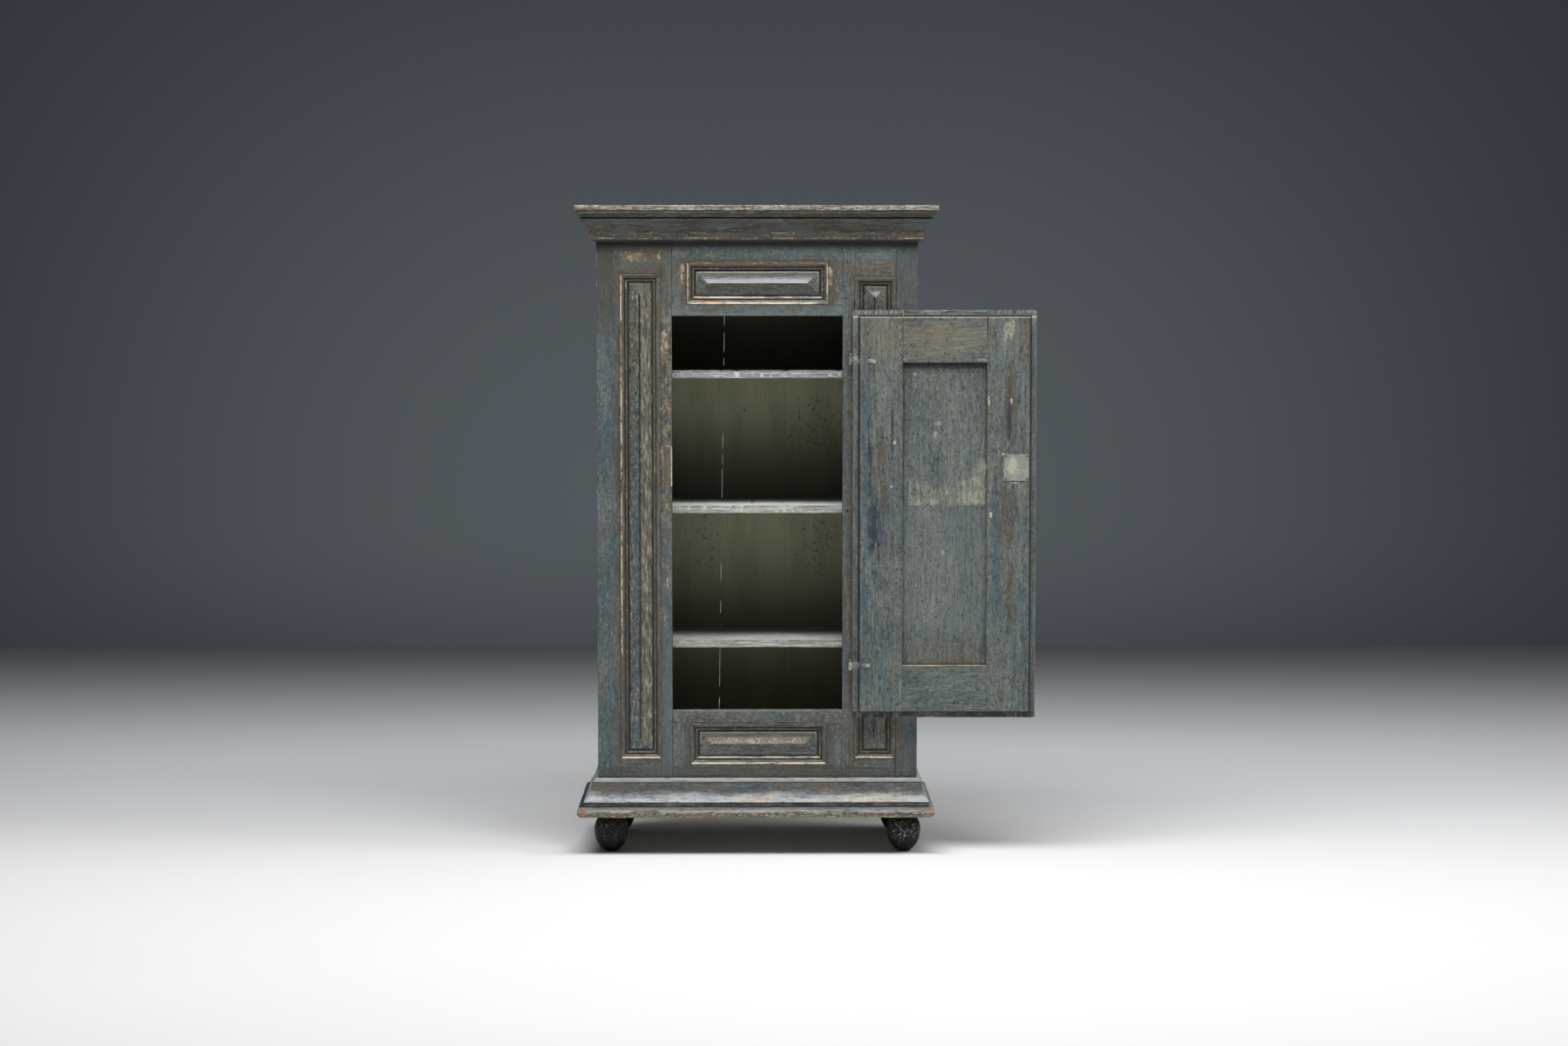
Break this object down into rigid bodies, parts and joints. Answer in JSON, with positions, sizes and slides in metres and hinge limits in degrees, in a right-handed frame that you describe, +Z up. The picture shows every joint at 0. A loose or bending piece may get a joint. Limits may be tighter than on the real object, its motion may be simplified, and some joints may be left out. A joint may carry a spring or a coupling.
{
  "type": "cabinet",
  "caption": "Tall narrow painted cupboard with a lipped panelled door between fielded panels, cornice and plinth mouldings, open shelves inside and turned ball feet.",
  "frame": {"origin": "on the floor under the middle of the case, midway between the side boards and between the frame's front face and the back boards", "axes": "+X to the right seen from the front, +Y towards the back, +Z up"},
  "size_m": [1.2136, 0.4631, 1.717],
  "materials": {
    "outer_paint": "matt blue-grey paint, worn through to ochre and bare wood at edges",
    "panel_paint": "matt blue-grey paint with rubbed ridges and dark grime in the coves",
    "door_paint": "matt blue-grey paint, stained and rubbed brown in places",
    "worn_mouldings": "grey paint rubbed pale on the rounds, brown wood at the corners",
    "inner_paint": "pale blue-grey paint, dusty and scuffed",
    "aged_boards": "dark unpainted softwood, dry and dull",
    "bare_wood": "unfinished softwood",
    "foot_finish": "black paint, scuffed and chipped",
    "painted_iron": "wrought iron under old blue-grey paint",
    "bare_iron": "dark wrought iron with light rust"
  },
  "bodies": {
    "case": {"back_board_1": "aged_boards", "back_board_2": "aged_boards", "back_board_3": "aged_boards", "back_board_4": "aged_boards", "back_board_5": "aged_boards", "bay_rail_bottom_left": "outer_paint", "bay_rail_bottom_right": "outer_paint", "bay_rail_top_left": "outer_paint", "bay_rail_top_right": "outer_paint", "bottom_muntins": "outer_paint", "bottom_rail": "outer_paint", "cornice_front": "worn_mouldings", "cornice_left": "worn_mouldings", "cornice_right": "worn_mouldings", "floor_board": "inner_paint", "foot_back_left": "foot_finish", "foot_back_right": "foot_finish", "foot_blocks": "bare_wood", "foot_front_left": "foot_finish", "foot_front_right": "foot_finish", "head_rail": "outer_paint", "hinge_pintle_lower": "painted_iron", "hinge_pintle_upper": "painted_iron", "inner_stile_left": "outer_paint", "inner_stile_right": "outer_paint", "moulding_bottom": "panel_paint", "moulding_left": "panel_paint", "moulding_right": "panel_paint", "moulding_top": "panel_paint", "outer_stile_left": "outer_paint", "outer_stile_right": "outer_paint", "panel_bottom": "panel_paint", "panel_left": "panel_paint", "panel_right": "panel_paint", "panel_top": "panel_paint", "plinth_front": "worn_mouldings", "plinth_left": "worn_mouldings", "plinth_right": "worn_mouldings", "shelf_1": "inner_paint", "shelf_2": "inner_paint", "shelf_3": "inner_paint", "shelf_cleats": "inner_paint", "side_board_left": "outer_paint", "side_board_right": "outer_paint", "sill_rail": "outer_paint", "stile_patch": "outer_paint", "top_board": "outer_paint", "top_muntins": "outer_paint", "top_rail": "outer_paint"},
    "door": {"door_hinge_stile": "door_paint", "door_lock_stile": "door_paint", "door_top_rail": "door_paint", "door_bottom_rail": "door_paint", "door_panel": "panel_paint", "door_moulding": "panel_paint", "hinge_eye_upper": "painted_iron", "hinge_eye_lower": "painted_iron", "lock_cover_plate": "painted_iron", "cover_plate_nails": "bare_iron", "keyhole_plate": "bare_iron"}
  },
  "joints": [
    {"name": "door_hinge", "type": "hinge", "parent": "case", "child": "door", "pos_m": [0.247, -0.214, 0.9055], "axis": [0, 0, 1], "range_deg": [-180, 0]}
  ]
}
